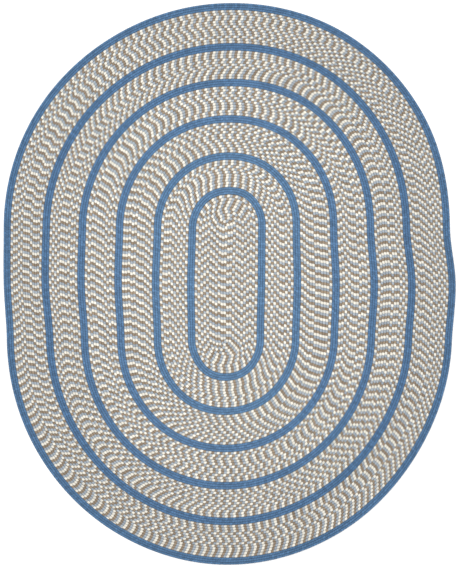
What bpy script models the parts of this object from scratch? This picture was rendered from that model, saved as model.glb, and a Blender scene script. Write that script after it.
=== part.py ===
"""Oval braided rug: tweed braid wound in a long spiral, with six blue rings.

The rug is sewn edge to edge from flat bands of braid that all wind round one
straight core line on the long axis (+Y).  A band's edge is described by its
reach: how far it lies out from that core line, at sixteen stations round the
rug.  Every band is a flat slab lying on z = 0.
"""
import math

import bpy

# ---------------------------------------------------------------- dimensions
THICKNESS = 0.009          # height of the flat braid, metres
SEAM_GAP = 0.0003          # clearance between two bands sewn edge to edge
CORE_HALF = 0.302          # half length of the straight core the braid winds round
RING_WIDTH = 0.0395        # three rows of blue braid
BORDER_WIDTH = 0.0380      # the outermost three rows, pulled a little tighter
EDGE_POINTS = 96           # corners on each band edge
STRAIGHT_SHARE = 1.0 / 16  # share of a turn from mid side to the end of the straight

# Reach of the middle of each blue ring from the core line, in millimetres.
# E and W are the middles of the two long sides, N and S the two ends.  ENE,
# WNW, WSW and ESE are where the straight sides stop; the others stand every
# 30 degrees round the two curved ends.  The hand-sewn oval is a little uneven.
STATIONS = ("E", "ENE", "NE", "NNE", "N", "NNW", "NW", "WNW",
            "W", "WSW", "SW", "SSW", "S", "SSE", "SE", "ESE")
RING_REACH = {
    #               E   ENE    NE   NNE     N   NNW    NW   WNW     W   WSW    SW   SSW     S   SSE    SE   ESE
    "ring_1":   ( 188,  191,  198,  205,  198,  193,  185,  185,  193,  189,  192,  204,  204,  199,  187,  182),
    "ring_2":   ( 382,  377,  388,  393,  385,  380,  375,  373,  383,  373,  380,  390,  388,  384,  374,  373),
    "ring_3":   ( 591,  578,  590,  596,  586,  582,  577,  578,  586,  571,  578,  590,  589,  584,  576,  581),
    "ring_4":   ( 797,  777,  789,  798,  782,  777,  774,  779,  786,  767,  772,  786,  791,  780,  774,  781),
    "ring_5":   (1000,  971,  982,  993,  975,  966,  967,  974,  979,  955,  954,  971,  983,  973,  966,  982),
    "border":   (1218, 1187, 1206, 1210, 1193, 1181, 1184, 1185, 1185, 1168, 1170, 1184, 1198, 1191, 1181, 1198),
}

# The bands from the middle outwards: which ring each one starts outside of
# (None for the middle panel), which ring it ends at, and its braid.
BANDS = (
    # name            inside     outside    braid
    ("center_panel",  None,      "ring_1",  "tweed"),
    ("blue_ring_1",   "ring_1",  "ring_1",  "blue"),
    ("tweed_band_1",  "ring_1",  "ring_2",  "tweed"),
    ("blue_ring_2",   "ring_2",  "ring_2",  "blue"),
    ("tweed_band_2",  "ring_2",  "ring_3",  "tweed"),
    ("blue_ring_3",   "ring_3",  "ring_3",  "blue"),
    ("tweed_band_3",  "ring_3",  "ring_4",  "tweed"),
    ("blue_ring_4",   "ring_4",  "ring_4",  "blue"),
    ("tweed_band_4",  "ring_4",  "ring_5",  "tweed"),
    ("blue_ring_5",   "ring_5",  "ring_5",  "blue"),
    ("tweed_band_5",  "ring_5",  "border",  "tweed"),
    ("blue_border",   "border",  "border",  "blue"),
)

# braid          colour (linear RGB)        roughness
BRAIDS = {
    "tweed": ((0.500, 0.470, 0.420, 1.0), 0.92),
    "blue":  ((0.105, 0.205, 0.350, 1.0), 0.90),
}


# ------------------------------------------------------------------- geometry
def reach_at(reaches, turn):
    """Reach at a turn from 0 to 1, a smooth closed curve through the stations."""
    count = len(reaches)
    place = (turn % 1.0) * count
    i = int(math.floor(place))
    f = place - i
    a, b, c, d = (reaches[(i + k) % count] for k in (-1, 0, 1, 2))
    return 0.001 * 0.5 * (2 * b + (c - a) * f
                          + (2 * a - 5 * b + 4 * c - d) * f ** 2
                          + (3 * b - a - 3 * c + d) * f ** 3)


def core_frame(turn):
    """Point on the core line, and the direction outwards, at a turn from 0 to 1."""
    turn = turn % 1.0
    s = STRAIGHT_SHARE
    if turn <= s or turn >= 1.0 - s:                       # east side
        along = turn if turn <= s else turn - 1.0
        return (0.0, CORE_HALF * along / s), (1.0, 0.0)
    if turn < 0.5 - s:                                     # north end
        angle = math.pi * (turn - s) / (0.5 - 2 * s)
        return (0.0, CORE_HALF), (math.cos(angle), math.sin(angle))
    if turn <= 0.5 + s:                                    # west side
        return (0.0, CORE_HALF * (0.5 - turn) / s), (-1.0, 0.0)
    angle = math.pi + math.pi * (turn - 0.5 - s) / (0.5 - 2 * s)
    return (0.0, -CORE_HALF), (math.cos(angle), math.sin(angle))


def ring_edge(ring, side):
    """Edge of a blue ring as (x, y) corners: side -1 inner, +1 outer."""
    width = BORDER_WIDTH if ring == "border" else RING_WIDTH
    edge = []
    for i in range(EDGE_POINTS):
        turn = i / EDGE_POINTS
        (bx, by), (nx, ny) = core_frame(turn)
        out = reach_at(RING_REACH[ring], turn) + side * width / 2
        edge.append((bx + nx * out, by + ny * out))
    return edge


def moved_along_normal(edge, distance):
    """The closed edge moved outwards by a small distance, corner by corner."""
    moved = []
    for i, (x, y) in enumerate(edge):
        x0, y0 = edge[i - 1]
        x1, y1 = edge[(i + 1) % len(edge)]
        tx, ty = x1 - x0, y1 - y0
        length = math.hypot(tx, ty)
        moved.append((x + ty / length * distance, y - tx / length * distance))
    return moved


def outline_middle():
    """Middle of the rug's bounding box, so that the rug is centred on the origin."""
    edge = ring_edge("border", +1)
    xs = [p[0] for p in edge]
    ys = [p[1] for p in edge]
    return (min(xs) + max(xs)) / 2, (min(ys) + max(ys)) / 2


# ------------------------------------------------------------------- building
def braid_material(braid):
    colour, roughness = BRAIDS[braid]
    material = bpy.data.materials.new(braid + "_braid")
    material.use_nodes = True
    shader = material.node_tree.nodes["Principled BSDF"]
    shader.inputs["Base Color"].default_value = colour
    shader.inputs["Roughness"].default_value = roughness
    shader.inputs["Metallic"].default_value = 0.0
    material.diffuse_color = colour
    return material


def add_outline(curve, edge, middle):
    spline = curve.splines.new("POLY")
    spline.points.add(len(edge) - 1)
    for point, (x, y) in zip(spline.points, edge):
        point.co = (x - middle[0], y - middle[1], 0.0, 1.0)
    spline.use_cyclic_u = True


def build_band(name, inside, outside, material, middle, collection):
    curve = bpy.data.curves.new(name, "CURVE")
    curve.dimensions = "2D"
    curve.fill_mode = "BOTH"
    curve.extrude = THICKNESS / 2
    for edge in (outside, inside):
        if edge is not None:
            add_outline(curve, edge, middle)
    curve.materials.append(material)
    band = bpy.data.objects.new(name, curve)
    band.location = (0.0, 0.0, THICKNESS / 2)
    collection.objects.link(band)
    return band


def build_rug():
    for old in list(bpy.data.objects):
        bpy.data.objects.remove(old, do_unlink=True)
    collection = bpy.data.collections.new("braided_rug")
    bpy.context.scene.collection.children.link(collection)
    materials = {braid: braid_material(braid) for braid in BRAIDS}
    middle = outline_middle()
    half_gap = SEAM_GAP / 2
    for name, inner_ring, outer_ring, braid in BANDS:
        ring = inner_ring == outer_ring
        inside = None
        if inner_ring is not None:
            inside = ring_edge(inner_ring, -1 if ring else +1)
            inside = moved_along_normal(inside, half_gap)
        outside = ring_edge(outer_ring, +1 if ring else -1)
        if name != BANDS[-1][0]:
            outside = moved_along_normal(outside, -half_gap)
        build_band(name, inside, outside, materials[braid], middle, collection)


build_rug()
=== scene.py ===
import math

import bpy
import numpy as np
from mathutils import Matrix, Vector


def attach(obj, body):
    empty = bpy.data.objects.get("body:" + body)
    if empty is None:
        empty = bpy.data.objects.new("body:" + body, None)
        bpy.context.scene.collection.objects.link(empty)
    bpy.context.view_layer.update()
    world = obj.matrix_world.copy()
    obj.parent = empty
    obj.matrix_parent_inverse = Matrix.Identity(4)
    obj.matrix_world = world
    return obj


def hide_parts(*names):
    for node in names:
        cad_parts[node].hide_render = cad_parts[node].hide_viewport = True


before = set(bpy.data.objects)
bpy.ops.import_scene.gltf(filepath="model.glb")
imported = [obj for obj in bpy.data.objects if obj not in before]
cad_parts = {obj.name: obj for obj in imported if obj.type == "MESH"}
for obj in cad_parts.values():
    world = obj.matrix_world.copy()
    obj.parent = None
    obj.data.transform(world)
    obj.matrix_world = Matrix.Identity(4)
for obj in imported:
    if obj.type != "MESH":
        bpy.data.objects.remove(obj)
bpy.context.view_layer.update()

# ---------------------------------------------------------------------------------------------------------------------
# The rings' places, as in part.py: a straight core line with a round end at the top and bottom, and how far each blue
# ring's middle lies from it, in millimetres, at 16 stations that run anticlockwise from the east.
# ---------------------------------------------------------------------------------------------------------------------
CORE_HALF = 0.302
STRAIGHT_SHARE = 1 / 16
RING_WIDTH = 0.0395
BORDER_WIDTH = 0.0380
SEAM_GAP = 0.0003
THICKNESS = 0.009
MIDDLE = (0.01585185, -0.0025)  # the outline's middle, which is the model's origin
STATIONS = ("E", "ENE", "NE", "NNE", "N", "NNW", "NW", "WNW", "W", "WSW", "SW", "SSW", "S", "SSE", "SE", "ESE")
RING_REACH = {
    "blue_ring_1": (188, 191, 198, 205, 198, 193, 185, 185, 193, 189, 192, 204, 204, 199, 187, 182),
    "blue_ring_2": (382, 377, 388, 393, 385, 380, 375, 373, 383, 373, 380, 390, 388, 384, 374, 373),
    "blue_ring_3": (591, 578, 590, 596, 586, 582, 577, 578, 586, 571, 578, 590, 589, 584, 576, 581),
    "blue_ring_4": (797, 777, 789, 798, 782, 777, 774, 779, 786, 767, 772, 786, 791, 780, 774, 781),
    "blue_ring_5": (1000, 971, 982, 993, 975, 966, 967, 974, 979, 955, 954, 971, 983, 973, 966, 982),
    "blue_border": (1218, 1187, 1206, 1210, 1193, 1181, 1184, 1185, 1185, 1168, 1170, 1184, 1198, 1191, 1181, 1198),
}

# Each tweed band is one braid wound anticlockwise. In its step zone it moves out by a row.
BANDS = {
    "tweed_band_1": dict(inner="blue_ring_1", outer="blue_ring_2", rows=10, zone=(0.095, 0.230)),
    "tweed_band_2": dict(inner="blue_ring_2", outer="blue_ring_3", rows=11, zone=(0.155, 0.216)),
    "tweed_band_3": dict(inner="blue_ring_3", outer="blue_ring_4", rows=11, zone=(0.148, 0.195)),
    "tweed_band_4": dict(inner="blue_ring_4", outer="blue_ring_5", rows=11, zone=(0.172, 0.202)),
    "tweed_band_5": dict(inner="blue_ring_5", outer="blue_border", rows=13, zone=(0.670, 0.698)),
}
BAND_4_TURNS = 10.493  # the fourth band's last rows step out at a second place
BAND_4_ZONE = (0.660, 0.695)
PANEL = dict(shift=(-0.0105, -0.002), zone=(0.60, 0.80), join=(0.05, 0.25), rows=11.5, start=0.4375, turns=10.9)

# How many colour repeats (cream, tan, grey) the braid makes in each step of `every` turns, from `first` to `last`, where
# its first one starts, and how far it runs ahead at each eighth of a turn, in hundredths of a repeat.
REPEATS = {
    "center_panel": dict(first=0.0625, every=0.5, start=0.662, sway=(-3, -14, -3, 4, 14, 5, -1, -1),
        turns=(14.12, 14.91, 15.03, 16.18, 16.28, 18.36, 18.16, 19.13, 19.14, 20.11, 20.20, 21.29, 21.43, 22.23,
               22.39, 23.34, 23.41, 24.14, 24.13, 25.20, 25.39)),
    "tweed_band_1": dict(every=0.5, start=0.147, sway=(4, 3, 0, -2, -3, -3, -4, 4),
        turns=(29.46, 29.57, 30.28, 30.56, 31.32, 31.71, 32.32, 32.66, 33.21, 33.58, 34.28, 34.49, 35.23, 35.25,
               35.91, 36.40, 37.33, 37.63, 38.35, 38.49)),
    "tweed_band_2": dict(every=0.5, start=0.92, sway=(7, -2, 1, 2, -1, -7, -5, 5),
        turns=(42.30, 42.54, 43.18, 43.47, 44.26, 44.49, 45.23, 45.34, 46.07, 46.48, 47.20, 47.63, 47.99, 48.32,
               49.13, 49.53, 50.08, 50.26, 51.12, 51.43, 51.83, 52.05)),
    "tweed_band_3": dict(every=0.5, start=0.072, sway=(12, -7, -6, 5, 1, -1, -6, 2),
        turns=(55.66, 56.14, 56.28, 56.86, 57.28, 57.60, 58.09, 58.71, 59.05, 59.64, 59.90, 60.64, 60.81, 61.58,
               62.26, 62.46, 62.85, 63.28, 63.94, 64.73, 65.00, 66.11)),
    "tweed_band_4": dict(every=0.5, last=10.49, start=0.06, sway=(19, -1, -9, 4, 3, -4, -12, -1),
        turns=(69.30, 69.63, 70.05, 71.01, 71.37, 71.70, 71.86, 72.34, 72.86, 73.58, 74.04, 74.60, 74.70, 75.37,
               75.85, 76.68, 77.68, 79.19, 78.62, 80.34, 77.75)),
    "band_4_short": dict(last=0.50675, start=0.244, sway=(11, 7, -11, -7, 11, 7, -11, -7), turns=(79.82,)),
    "tweed_band_5": dict(every=0.5, start=0.311, sway=(15, -8, -24, -10, 25, -3, -4, 9),
        turns=(84.18, 83.61, 85.18, 84.65, 85.81, 85.42, 86.97, 86.52, 88.27, 87.35, 89.29, 88.49, 90.06, 89.24,
               90.37, 90.02, 91.75, 90.98, 93.16, 91.79, 94.15, 92.87, 94.76, 93.31, 95.39, 94.92)),
}
SLANT = 0.20  # how many strands a strand leans by across its row
CREAM_LAG = 0.036  # of a repeat
BLUE_PITCH = 0.0140  # a blue strand's length along its row
RING_SEAM = {"blue_ring_1": 0.008}  # where a ring's ends meet, in turns

# One row's cross-section: how far across it (-1 inside to 1 outside), and its height above and below the middle.
TOP = ((-1.0, 0.0), (-0.78, 0.76), (0.0, 1.0), (0.78, 0.76), (1.0, 0.0))
UNDER = ((0.5, -0.985), (-0.5, -0.985))
GROOVE = 0.70  # a groove's height, of the crest's

# The strip of braid that the materials draw: TILE_STRANDS long, and TILE_ROWS different rows of tops and of undersides.
TILE_STRANDS = 24
TILE_ROWS = 8

rng = np.random.default_rng(20)


def smooth(x):
    x = np.clip(x, 0.0, 1.0)
    return x * x * (3 - 2 * x)


def round_table(values, turn):
    """A smooth curve through values that stand evenly round a turn."""
    v = np.array(values, float)
    p = (turn % 1.0) * len(v)
    i = np.floor(p).astype(int)
    f = p - i
    a, b, c, d = (v[(i + k) % len(v)] for k in (-1, 0, 1, 2))
    return 0.5 * (2 * b + (c - a) * f + (2 * a - 5 * b + 4 * c - d) * f**2 + (3 * b - a - 3 * c + d) * f**3)


def reach(ring, turn):
    return round_table(RING_REACH[ring], turn) * 0.001


def core(turn):
    """The core line's point and the outward direction there."""
    t = np.asarray(turn, float) % 1.0
    s = STRAIGHT_SHARE
    arc = math.pi / (0.5 - 2 * s)
    east, west = (t <= s) | (t >= 1 - s), (t >= 0.5 - s) & (t <= 0.5 + s)
    north = (t > s) & (t < 0.5 - s)
    along = np.where(t <= s, t, t - 1)
    y = np.where(east, CORE_HALF * along / s, np.where(west, CORE_HALF * (0.5 - t) / s, np.where(north, CORE_HALF, -CORE_HALF)))
    angle = np.where(east, 0.0, np.where(west, math.pi, np.where(north, arc * (t - s), math.pi + arc * (t - 0.5 - s))))
    return np.zeros_like(t), y, np.cos(angle), np.sin(angle)


def edge(ring, side, turn, inset=SEAM_GAP / 2):
    """A point of a ring's inner (side -1) or outer (side 1) edge. A positive inset moves it away from the ring."""
    width = BORDER_WIDTH if ring == "blue_border" else RING_WIDTH
    x, y, nx, ny = core(turn)
    r = reach(ring, turn) + side * (width / 2 + inset)
    return np.stack([x + nx * r - MIDDLE[0], y + ny * r - MIDDLE[1]], -1)


# ---------------------------------------------------------------------------------------------------------------------
# Rows: for each, the turns it covers, where its two sides lie across its band, and its place
# ---------------------------------------------------------------------------------------------------------------------
def band_place(spec):
    def place(turn, rho):
        a, b = edge(spec["inner"], 1, turn), edge(spec["outer"], -1, turn)
        return a + (b - a) * (rho / spec["rows"])[..., None]
    return place


def band_sides(name, spec):
    """The turn that tau = 0 is at, tau's range, and the two sides of the row at tau."""
    z0, z1 = spec["zone"]
    d, n = z1 - z0, spec["rows"]
    if name != "tweed_band_4":
        def middle(tau):
            f = tau - np.floor(tau)
            return np.floor(tau) + 0.5 + smooth((f - (1 - d)) / d)
        last = float(n)
    else:
        y0, y1 = BAND_4_ZONE
        e, late = y1 - y0, y1 - z1
        def middle(tau):
            rho = np.full_like(tau, -0.5)
            for k in range(9):
                rho += smooth((tau - (k - d)) / d)
            for k in (8, 9, 10):
                rho += smooth((tau - (k + late - e)) / e)
            return rho
        last = BAND_4_TURNS

    def sides(tau):
        rho = middle(tau)
        return np.clip(rho - 0.5, 0, n), np.clip(rho + 0.5, 0, n)
    return z1, (-d, last), sides


def short_sides(tau):
    """The extra row of the fourth band, which fills the space between its two step zones."""
    z0, z1 = BANDS["tweed_band_4"]["zone"]
    y0, y1 = BAND_4_ZONE
    d, e, length = z1 - z0, y1 - y0, 1 + z1 - y1
    return 8 + smooth((tau - (length - d)) / d), 8 + smooth((tau + e) / e)


def panel_place(turn, rho):
    p, z, j, rows = PANEL, PANEL["zone"], PANEL["join"], PANEL["rows"]
    d, dj = z[1] - z[0], j[1] - j[0]
    at, j_at = (turn - z[0]) % 1.0, (j[0] - z[0]) % 1.0
    count = np.where(at < d, rows - 1 + smooth(at / d), np.where(at < j_at, rows, np.where(at < j_at + dj, rows - smooth((at - j_at) / dj), rows - 1)))
    x, y, _, _ = core(turn)
    shift = p["shift"][0] + (p["shift"][1] - p["shift"][0]) * smooth(y / CORE_HALF)
    c = np.stack([x + shift - MIDDLE[0], y - MIDDLE[1]], -1)
    outer = edge("blue_ring_1", -1, turn)
    return c + (outer - c) * (np.minimum(rho, count) / count)[..., None]


def panel_sides(tau):
    z = PANEL["zone"]
    full = PANEL["start"] + tau
    rho = sum(smooth((full - (z[0] + j)) / (z[1] - z[0])) for j in range(13))
    w = 0.5 + STRAIGHT_SHARE
    low = np.where(full < 1.0, -0.5 + 0.5 * smooth((full - w) / 0.04) + 0.5 * smooth((full - 0.80) / 0.12), rho - 0.5)
    return low, rho + 0.5


def hermite(knots, values, s):
    k, v = np.asarray(knots, float), np.asarray(values, float)
    h, m = np.diff(k), np.empty(len(v))
    slope = np.diff(v) / h
    m[0], m[-1] = slope[0], slope[-1]
    m[1:-1] = (slope[:-1] * h[1:] + slope[1:] * h[:-1]) / (h[1:] + h[:-1])
    i = np.clip(np.searchsorted(k, s, side="right") - 1, 0, len(h) - 1)
    u = (s - k[i]) / h[i]
    inside = v[i] * (1 + 2 * u) * (1 - u) ** 2 + m[i] * h[i] * u * (1 - u) ** 2 + v[i + 1] * u * u * (3 - 2 * u) + m[i + 1] * h[i] * u * u * (u - 1)
    return np.where(s < k[0], v[0] + m[0] * (s - k[0]), np.where(s > k[-1], v[-1] + m[-1] * (s - k[-1]), inside))


# ---------------------------------------------------------------------------------------------------------------------
# The braid's mesh
# ---------------------------------------------------------------------------------------------------------------------
class Mesh:
    """Points, faces and their UVs, gathered from several rows."""

    def __init__(self):
        self.points, self.quads, self.quad_uv, self.tris, self.tri_uv, self.count = [], [], [], [], [], 0

    def add(self, points, quads, quad_uv, tris=None, tri_uv=None):
        self.points.append(points)
        self.quads.append(quads + self.count)
        self.quad_uv.append(quad_uv)
        if tris is not None and len(tris):
            self.tris.append(tris + self.count)
            self.tri_uv.append(tri_uv)
        self.count += len(points)

    def build(self, name, material):
        co = np.concatenate(self.points)
        quads, quad_uv = np.concatenate(self.quads), np.concatenate(self.quad_uv)
        tris = np.concatenate(self.tris) if self.tris else np.zeros((0, 3), int)
        tri_uv = np.concatenate(self.tri_uv) if self.tri_uv else np.zeros((0, 3, 2))
        me = bpy.data.meshes.new(name + "_braid")
        me.vertices.add(len(co))
        me.vertices.foreach_set("co", co.astype(np.float32).ravel())
        loops = np.concatenate([quads.ravel(), tris.ravel()]).astype(np.int32)
        starts = np.concatenate([np.arange(len(quads)) * 4, len(quads) * 4 + np.arange(len(tris)) * 3]).astype(np.int32)
        me.loops.add(len(loops))
        me.loops.foreach_set("vertex_index", loops)
        me.polygons.add(len(starts))
        me.polygons.foreach_set("loop_start", starts)
        me.polygons.foreach_set("use_smooth", np.ones(len(starts), bool))
        me.update(calc_edges=True)
        uv = me.uv_layers.new(name="OFBake")
        uv.data.foreach_set("uv", np.concatenate([quad_uv.reshape(-1, 2), tri_uv.reshape(-1, 2)]).astype(np.float32).ravel())
        me.materials.append(material)
        ob = bpy.data.objects.new(name + "_braid", me)
        bpy.context.scene.collection.objects.link(ob)
        return ob


def lean(t):
    """How far a strand leans at t across its row, from -1 to 1: it turns in towards the row's sides."""
    return np.sin(0.5 * math.pi * t)


def braid(mesh, place, sides, turn0, tau_range, phase_at, closed=False, whole=None, seam=False):
    """One braid. place(turn, rho) is a point across the band, sides(tau) the row's two sides, and phase_at(s) how many
    strands lie before the arc length s, which is zero at tau = 0."""
    t0, t1 = tau_range
    n = max(int((t1 - t0) * 3000), 200)
    tau = np.linspace(t0, t1, n)
    low, high = sides(tau)
    mid = place((turn0 + tau) % 1.0, (low + high) / 2)
    s = np.concatenate([[0], np.cumsum(np.linalg.norm(np.diff(mid, axis=0), axis=1))])
    s -= np.interp(0.0, tau, s)
    phase = phase_at(s, tau)
    phase = np.maximum.accumulate(phase + np.arange(n) * 1e-9)
    if closed:
        strands = whole
        m = np.arange(2 * strands)
    else:
        half = SLANT / 2
        m = np.arange(math.ceil(2 * (phase[0] + half)), math.floor(2 * (phase[-1] - half)) + 1)
    ring = [(t, h) for t, h in TOP] + list(UNDER)
    across, height = np.array([r[0] for r in ring]), np.array([r[1] for r in ring])
    want = m[:, None] / 2 - 0.5 * SLANT * lean(across)[None, :]
    if closed:
        want = np.mod(want, strands)
    tt = np.interp(want, phase, tau)
    low, high = sides(tt.ravel())
    low, high = low.reshape(tt.shape), high.reshape(tt.shape)
    rho = low + (high - low) * (across[None, :] + 1) / 2
    xy = place((turn0 + tt) % 1.0, rho)
    crest = (m % 2 == 1).astype(float)
    lift = GROOVE + (1 - GROOVE) * crest
    if seam:
        lift[0] *= 0.62
    strand = np.floor_divide(m, 2)
    jitter = rng.normal(0, 0.035, strand.max() - strand.min() + 2)[strand - strand.min()] * crest
    lift = np.clip(lift * (1 + jitter) - 0.04 * crest, 0.3, 1.0)
    narrow = np.clip(np.minimum(1.0, (high - low) * 1.4), 0.12, 1)  # a braid that tapers is thinner too
    z = THICKNESS / 2 * (1 + height[None, :] * lift[:, None] * narrow)
    points = np.concatenate([xy, z[..., None]], -1)
    rows, k = points.shape[:2]
    index = np.arange(rows * k).reshape(rows, k)
    a = index if closed else index[:-1]
    b = np.roll(index, -1, 0) if closed else index[1:]
    c, d = np.roll(a, -1, 1), np.roll(b, -1, 1)
    quads = np.stack([a, c, d, b], -1).reshape(-1, 4)  # the normals point out
    # the strip of the pattern that each strand shows, picked for each colour repeat
    steps = len(a)
    step_strand = strand[:steps]
    repeat = np.floor_divide(step_strand, 3)
    first = repeat.min()
    pick = rng.integers(0, TILE_STRANDS // 3 * TILE_ROWS, repeat.max() - first + 1)[repeat - first]
    column, line = pick % (TILE_STRANDS // 3), pick // (TILE_STRANDS // 3)
    u0 = (column * 3 + (step_strand - 3 * repeat) + 0.5 * (m[:steps] % 2)) / TILE_STRANDS
    u1 = u0 + 0.5 / TILE_STRANDS
    edge_v = (across + 1) / 2
    top = len(TOP)
    pairs = []
    for j in range(k):
        j2 = (j + 1) % k
        if j < top - 1:
            va, vb, base = edge_v[j], edge_v[j2], 0
        else:
            va, vb, base = edge_v[j], edge_v[j2], TILE_ROWS
        pairs.append((va, vb, base))
    pad = 0.004
    quad_uv = np.empty((steps, k, 4, 2))
    for j, (va, vb, base) in enumerate(pairs):
        va, vb = np.clip([va, vb], pad, 1 - pad)
        wa, wb = (base + line + va) / (2 * TILE_ROWS), (base + line + vb) / (2 * TILE_ROWS)
        quad_uv[:, j, 0] = np.stack([u0, wa], -1)
        quad_uv[:, j, 1] = np.stack([u0, wb], -1)
        quad_uv[:, j, 2] = np.stack([u1, wb], -1)
        quad_uv[:, j, 3] = np.stack([u1, wa], -1)
    inner = 0.02 / TILE_STRANDS  # a map's pixel belongs to one strand only
    is_first = (m[:steps] % 2 == 0)
    quad_uv[is_first, :, 0:2, 0] += inner
    quad_uv[~is_first, :, 2:4, 0] -= inner
    quad_uv = quad_uv.reshape(-1, 4, 2)
    tris, tri_uv = [], []
    if not closed:
        for end, sign in ((0, -1), (rows - 1, 1)):
            centre = points[end].mean(0)
            other = points[1 if end == 0 else rows - 2].mean(0)
            out = centre - other
            out /= max(np.linalg.norm(out), 1e-9)
            wide = np.linalg.norm(points[end, 0, :2] - points[end, top - 1, :2])
            tip = centre + out * min(0.4 * wide, 0.006)
            tip[2] = THICKNESS / 2
            points_index = rows * k + (0 if sign < 0 else 1)
            for j in range(k):
                j2 = (j + 1) % k
                tris.append((index[end, j2], index[end, j], points_index) if sign < 0 else (index[end, j], index[end, j2], points_index))
                tri_uv.append([(0.51 / TILE_STRANDS, 0.2 / 16), (0.51 / TILE_STRANDS, 0.8 / 16), (0.9 / TILE_STRANDS, 0.5 / 16)])
            if sign < 0:
                tip_a = tip
            else:
                tip_b = tip
        flat = np.concatenate([points.reshape(-1, 3), tip_a[None], tip_b[None]])
        mesh.add(flat, quads, quad_uv, np.array(tris), np.array(tri_uv))
    else:
        mesh.add(points.reshape(-1, 3), quads, quad_uv)
    return len(m) // 2


def plug(mesh, span, radius, lift, kind):
    """A small domed turn of yarn in the eye of the panel's braid, at the end whose half turn is span. radius is in rows."""
    half = panel_place(np.linspace(span[0], span[1], 9), np.full(9, radius))
    centre = (half[0] + half[-1]) / 2
    rim = np.concatenate([half, 2 * centre - half[1:-1]]) - centre
    n = len(rim)
    levels = ((1.0, 0.0), (0.8, 0.72), (0.45, 0.95), (0.75, -0.95))  # how far out, and the height; the last is underneath
    points = [np.column_stack([centre + rim * r, np.full(n, THICKNESS / 2 * (1 + h * lift))]) for r, h in levels]
    poles = [(centre[0], centre[1], THICKNESS / 2 * (1 + h * lift)) for h in (1.0, -0.985)]
    points = np.concatenate(points + [np.array(poles)])
    angle = 2 * math.pi * np.arange(n) / n
    uv = [np.column_stack([r * np.cos(angle), r * np.sin(angle)]) for r, _ in levels]
    uv = 0.5 + 0.44 * np.concatenate(uv + [np.zeros((2, 2))])
    uv = (uv + (kind, 0)) / (TILE_STRANDS, 2 * TILE_ROWS)
    i = np.arange(n)
    j = (i + 1) % n
    quads = np.concatenate([np.column_stack([a * n + i, a * n + j, b * n + j, b * n + i]) for a, b in ((0, 1), (1, 2))]
                           + [np.column_stack([j, i, 3 * n + i, 3 * n + j])])
    tris = np.concatenate([np.column_stack([2 * n + i, 2 * n + j, np.full(n, 4 * n)]),
                           np.column_stack([3 * n + j, 3 * n + i, np.full(n, 4 * n + 1)])])
    mesh.add(points, quads, uv[quads], tris, uv[tris])


def tweed_phase(key):
    spec = REPEATS[key]

    def phase(s, tau):
        knots = [spec.get("first", 0.0) + i * spec.get("every", 1.0) for i in range(len(spec["turns"]) + 1)]
        knots[-1] = spec.get("last", knots[-1])
        at = np.interp(knots, tau, s)
        total = spec["start"] + np.concatenate([[0.0], np.cumsum(spec["turns"])])
        sway = round_table(spec["sway"], tau) * 0.01
        # cream's middle is at a whole repeat, and a strand's middle half way between two grooves
        return 3 * (hermite(at, total, s) + sway - CREAM_LAG) + 0.5
    return phase


# ---------------------------------------------------------------------------------------------------------------------
# Materials. They read only the map, so that each strand has one colour from groove to groove.
# ---------------------------------------------------------------------------------------------------------------------
def linear(rgb):
    return tuple(((c / 255) / 12.92 if c / 255 <= 0.04045 else (((c / 255) + 0.055) / 1.055) ** 2.4) for c in rgb)


class Nodes:
    def __init__(self, name):
        self.mat = bpy.data.materials.new(name)
        self.mat.use_nodes = True
        self.tree = self.mat.node_tree
        self.tree.nodes.clear()

    def new(self, kind, **settings):
        n = self.tree.nodes.new(kind)
        for k, v in settings.items():
            setattr(n, k, v)
        return n

    def join(self, value, socket):
        if isinstance(value, bpy.types.NodeSocket):
            self.tree.links.new(value, socket)
        else:
            socket.default_value = value

    def math(self, op, a, b=0.0, c=0.0, clamp=False):
        n = self.new("ShaderNodeMath", operation=op, use_clamp=clamp)
        for value, socket in zip((a, b, c), n.inputs):
            self.join(value, socket)
        return n.outputs[0]

    def mix(self, factor, a, b, blend="MIX"):
        n = self.new("ShaderNodeMix", data_type="RGBA", blend_type=blend, clamp_factor=True)
        self.join(factor, n.inputs["Factor"])
        self.join(a, n.inputs[6])
        self.join(b, n.inputs[7])
        return n.outputs[2]

    def vector(self, x, y, z):
        n = self.new("ShaderNodeCombineXYZ")
        for value, socket in zip((x, y, z), n.inputs):
            self.join(value, socket)
        return n.outputs[0]

    def noise(self, at, scale, detail=2.0, rough=0.5):
        n = self.new("ShaderNodeTexNoise", noise_dimensions="3D")
        self.join(at, n.inputs["Vector"])
        n.inputs["Scale"].default_value = scale
        n.inputs["Detail"].default_value = detail
        n.inputs["Roughness"].default_value = rough
        return n.outputs[0]


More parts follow.
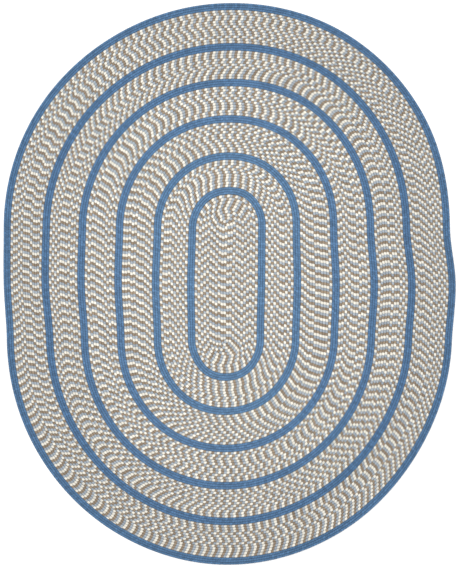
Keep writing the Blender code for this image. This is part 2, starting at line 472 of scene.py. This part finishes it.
def braid_material(name, colours, seed, gain=1.0, vary=0.24, fleck=0.5, pitch=0.015, sheen=0.12, row_edge_shade=0.06):
    """colours are the three strands' own, as (0-255 colour, how much it strays)."""
    b = Nodes(name)
    uv = b.new("ShaderNodeUVMap", uv_map="OFBake")
    xyz = b.new("ShaderNodeSeparateXYZ")
    b.join(uv.outputs[0], xyz.inputs[0])
    along = b.math("MULTIPLY", xyz.outputs[0], float(TILE_STRANDS))
    across = b.math("MULTIPLY", xyz.outputs[1], float(2 * TILE_ROWS))
    i, r = b.math("FLOOR", along), b.math("FLOOR", across)
    fu, fv = b.math("SUBTRACT", along, i), b.math("SUBTRACT", across, r)
    kind = b.math("SUBTRACT", i, b.math("MULTIPLY", b.math("FLOOR", b.math("DIVIDE", b.math("ADD", i, 0.5), 3.0)), 3.0))
    white = b.new("ShaderNodeTexWhiteNoise", noise_dimensions="3D")
    b.join(b.vector(i, r, float(seed)), white.inputs["Vector"])
    own = b.new("ShaderNodeSeparateColor")
    b.join(white.outputs["Color"], own.inputs[0])
    # millimetres along the row and across it, on the strand's own skin
    mm = pitch * 1000
    skin = b.vector(b.math("MULTIPLY", along, mm), b.math("MULTIPLY", across, mm), float(seed))
    # fibres run along the strand, which is across the row
    fibre = b.noise(b.vector(b.math("MULTIPLY", along, mm * 2.6), b.math("MULTIPLY", across, mm * 0.7), float(seed)), 1.0, 3.0, 0.6)
    heather = b.noise(b.vector(b.math("MULTIPLY", along, mm * 0.9), b.math("MULTIPLY", across, mm * 0.45), seed + 9.0), 1.0, 2.0, 0.55)
    fuzz = b.noise(skin, 3.4, 3.0, 0.65)
    wander = b.math("MULTIPLY", b.math("SUBTRACT", heather, 0.5), 0.35)
    # five yarns lie side by side in a strand, each with its twist
    leaning = b.math("MULTIPLY", b.math("SUBTRACT", fv, 0.5), -2.2)
    yarn = b.math("FRACT", b.math("ADD", b.math("ADD", b.math("MULTIPLY", fu, 5.0), leaning), wander))
    hump = b.math("SUBTRACT", 1.0, b.math("POWER", b.math("ABSOLUTE", b.math("SUBTRACT", b.math("MULTIPLY", yarn, 2.0), 1.0)), 2.4))
    twist = b.math("SINE", b.math("MULTIPLY", b.math("ADD", b.math("MULTIPLY", fv, 9.0), yarn), 2 * math.pi))
    from_crest = b.math("ABSOLUTE", b.math("SUBTRACT", b.math("MULTIPLY", fu, 2.0), 1.0))
    from_line = b.math("ABSOLUTE", b.math("SUBTRACT", b.math("MULTIPLY", fv, 2.0), 1.0))
    # masks for painted shade: the first is near the grooves between strands, the second near the row's two edges, the
    # third near both, where shade falls
    groove, side = b.math("POWER", from_crest, 6.0), b.math("POWER", from_line, 5.0)
    corner_shade = b.math("POWER", b.math("MULTIPLY", from_crest, from_line), 3.0)
    base = [linear(c) + (1.0,) for c, _ in colours]
    second = b.math("GREATER_THAN", kind, 0.5)
    third = b.math("GREATER_THAN", kind, 1.5)
    colour = b.mix(third, b.mix(second, base[0], base[1]), base[2])
    other = [linear(o) + (1.0,) for _, o in colours]
    stray = b.mix(third, b.mix(second, other[0], other[1]), other[2])
    # some fibres of a strand have its second colour
    share = b.math("MULTIPLY", b.math("SUBTRACT", heather, 0.40, clamp=True), 2.6, clamp=True)
    share = b.math("MULTIPLY", b.math("ADD", b.math("MULTIPLY", share, fleck), b.math("MULTIPLY", own.outputs[1], fleck)), 0.7, clamp=True)
    colour = b.mix(share, colour, stray)
    level = b.math("ADD", 1.0 - vary / 2, b.math("MULTIPLY", own.outputs[0], vary))
    level = b.math("ADD", level, b.math("MULTIPLY", b.math("SUBTRACT", fibre, 0.5), 0.30))
    # painted light and shade on the yarns: lighter on each yarn's hump and on the twist's ridges, darker in the hollows
    # between them
    level = b.math("ADD", level, b.math("MULTIPLY", b.math("SUBTRACT", hump, 0.7), 0.10))
    level = b.math("ADD", level, b.math("MULTIPLY", twist, 0.025))
    # painted shade: darker towards the grooves between strands
    level = b.math("MULTIPLY", level, b.math("SUBTRACT", 1.0, b.math("MULTIPLY", groove, 0.42)))
    # painted shade: darker towards the row's edges, in the crevice between rows
    level = b.math("MULTIPLY", level, b.math("SUBTRACT", 1.0, b.math("MULTIPLY", side, row_edge_shade)))
    # painted shade: darker still where a groove meets a row's edge
    level = b.math("MULTIPLY", level, b.math("SUBTRACT", 1.0, b.math("MULTIPLY", corner_shade, 0.18)))
    level = b.math("MULTIPLY", level, gain)
    n = b.new("ShaderNodeVectorMath", operation="SCALE")
    b.join(colour, n.inputs[0])
    b.join(level, n.inputs["Scale"])
    shader = b.new("ShaderNodeBsdfPrincipled")
    b.join(n.outputs[0], shader.inputs["Base Color"])
    b.join(b.math("ADD", 0.80, b.math("MULTIPLY", fuzz, 0.22), clamp=True), shader.inputs["Roughness"])
    shader.inputs["Specular IOR Level"].default_value = 0.18
    shader.inputs["Sheen Weight"].default_value = sheen
    shader.inputs["Sheen Roughness"].default_value = 0.6
    height = b.math("ADD", b.math("MULTIPLY", hump, 0.9), b.math("MULTIPLY", twist, 0.16))
    height = b.math("ADD", height, b.math("MULTIPLY", fibre, 0.8))
    height = b.math("ADD", height, b.math("MULTIPLY", fuzz, 0.35))
    bump = b.new("ShaderNodeBump")
    bump.inputs["Strength"].default_value = 0.55
    bump.inputs["Distance"].default_value = 0.0007
    b.join(height, bump.inputs["Height"])
    b.join(bump.outputs[0], shader.inputs["Normal"])
    out = b.new("ShaderNodeOutputMaterial")
    b.join(shader.outputs[0], out.inputs["Surface"])
    return b.mat


CREAM = ((228, 224, 213), (208, 202, 188))
TAN = ((133, 117, 99), (170, 152, 130))
GREY = ((149, 159, 169), (177, 183, 187))
# each tweed band's brightness; the outer bands are made darker, painted shade that stands in for the light falling off
# towards the rug's rim
TWEED_GAIN = {"center_panel": 1.02, "tweed_band_1": 1.025, "tweed_band_2": 1.01, "tweed_band_3": 1.005, "tweed_band_4": 0.96, "tweed_band_5": 0.925}
# the rings' blues, darker towards the outer rings
BLUES = {
    "blue_ring_1": (90, 126, 162), "blue_ring_2": (89, 125, 161), "blue_ring_3": (86, 121, 158),
    "blue_ring_4": (83, 118, 155), "blue_ring_5": (79, 114, 151), "blue_border": (78, 113, 149),
}
BLUE_GAIN = 0.865


def shade(rgb, k):
    return tuple(min(255, c * k) for c in rgb)


turns = np.arange(0, 1, 1 / 720)
facts = {}


def finish_piece(mesh, node, material):
    ob = mesh.build(node, material)
    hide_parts(node)
    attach(ob, "root")
    facts[node] = sum(len(q) for q in mesh.quads) * 2 + sum(len(q) for q in mesh.tris)
    return ob


# the centre panel
mesh = Mesh()
braid(mesh, panel_place, panel_sides, PANEL["start"], (0.0, PANEL["turns"] + 0.0), tweed_phase("center_panel"))
plug(mesh, (STRAIGHT_SHARE, 0.5 - STRAIGHT_SHARE), 0.5, 0.90, 0)
plug(mesh, (0.5 + STRAIGHT_SHARE, 1.0 - STRAIGHT_SHARE), 0.34, 0.60, 2)
finish_piece(mesh, "center_panel", braid_material("tweed_0", (CREAM, TAN, GREY), 0, TWEED_GAIN["center_panel"]))

# the tweed bands
for index, (name, spec) in enumerate(BANDS.items(), 1):
    mesh = Mesh()
    turn0, span, sides = band_sides(name, spec)
    braid(mesh, band_place(spec), sides, turn0, span, tweed_phase(name))
    if name == "tweed_band_4":
        e = BAND_4_ZONE[1] - BAND_4_ZONE[0]
        length = 1 + spec["zone"][1] - BAND_4_ZONE[1]
        braid(mesh, band_place(spec), short_sides, BAND_4_ZONE[1], (-e, length), tweed_phase("band_4_short"))
    material = braid_material(f"tweed_{index}", (CREAM, TAN, GREY), index * 3, TWEED_GAIN[name])
    finish_piece(mesh, name, material)

# the blue rings, of three rows each
for index, name in enumerate(RING_REACH, 1):
    mesh = Mesh()

    def place(turn, rho, ring=name):
        a, b = edge(ring, -1, turn, -SEAM_GAP / 2), edge(ring, 1, turn, -SEAM_GAP / 2)
        return a + (b - a) * (rho / 3)[..., None]

    for row in range(3):
        def sides(tau, row=row):
            return np.full_like(tau, float(row)), np.full_like(tau, row + 1.0)
        line = place(turns, np.full_like(turns, row + 0.5))
        length = np.linalg.norm(line - np.roll(line, -1, 0), axis=1).sum()
        strands = int(round(length / BLUE_PITCH))
        seam = RING_SEAM.get(name)
        start = (0.137 * index + 0.31 * row) % 1.0 if seam is None else seam
        braid(mesh, place, sides, start, (0.0, 1.0), lambda s, tau, n=strands: s / s[-1] * n, True, strands, seam is not None)
    blue = BLUES[name]
    shades = ((shade(blue, 1.0), shade(blue, 1.10)), (shade(blue, 0.97), shade(blue, 1.08)), (shade(blue, 1.02), shade(blue, 0.93)))
    # the blue rows get a lighter painted shade at their edges than the tweed
    material = braid_material(f"blue_{index}", shades, 40 + index, BLUE_GAIN, vary=0.32, fleck=0.8, pitch=BLUE_PITCH, row_edge_shade=0.04)
    finish_piece(mesh, name, material)

# ---------------------------------------------------------------------------------------------------------------------
# Floor, light and camera
# ---------------------------------------------------------------------------------------------------------------------
FLOOR = 20.0
me = bpy.data.meshes.new("floor")
me.from_pydata([(-FLOOR, -FLOOR, -0.0003), (FLOOR, -FLOOR, -0.0003), (FLOOR, FLOOR, -0.0003), (-FLOOR, FLOOR, -0.0003)], [], [(0, 1, 2, 3)])
floor = bpy.data.objects.new("floor", me)
bpy.context.scene.collection.objects.link(floor)
f = Nodes("floor")
pale = f.new("ShaderNodeBsdfPrincipled")
pale.inputs["Base Color"].default_value = (0.93, 0.93, 0.93, 1)
pale.inputs["Roughness"].default_value = 0.9
pale.inputs["Specular IOR Level"].default_value = 0.1
f.join(pale.outputs[0], f.new("ShaderNodeOutputMaterial").inputs["Surface"])
me.materials.append(f.mat)

world = bpy.data.worlds.new("studio")
bpy.context.scene.world = world
world.use_nodes = True
world.node_tree.nodes["Background"].inputs["Color"].default_value = (1, 1, 1, 1)
world.node_tree.nodes["Background"].inputs["Strength"].default_value = 0.62


def lamp(name, place, size, watts):
    light = bpy.data.lights.new(name, "AREA")
    light.shape, light.size, light.energy = "SQUARE", size, watts
    ob = bpy.data.objects.new(name, light)
    ob.location = place
    ob.rotation_euler = Vector([-c for c in place]).to_track_quat("-Z", "Y").to_euler()
    ob.visible_camera = False
    bpy.context.scene.collection.objects.link(ob)


lamp("key", (-3.2, 3.6, 6.5), 4.0, 430)
lamp("fill", (3.6, -3.0, 6.5), 4.5, 260)

camera = bpy.data.cameras.new("camera")
camera.sensor_fit = "HORIZONTAL"
DISTANCE = 9.0
VIEW_WIDTH = 460 * 0.0054
camera.angle = 2 * math.atan(VIEW_WIDTH / 2 / DISTANCE)
camera.clip_end = 100
eye = bpy.data.objects.new("camera", camera)
eye.location = (0.0025, 0.0020, DISTANCE + THICKNESS / 2)
eye.rotation_euler = (0, 0, 0)
bpy.context.scene.collection.objects.link(eye)
bpy.context.scene.camera = eye
bpy.context.scene.view_settings.view_transform = "Standard"
bpy.context.scene.view_settings.look = "None"

print("triangles", facts, "sum", sum(facts.values()))
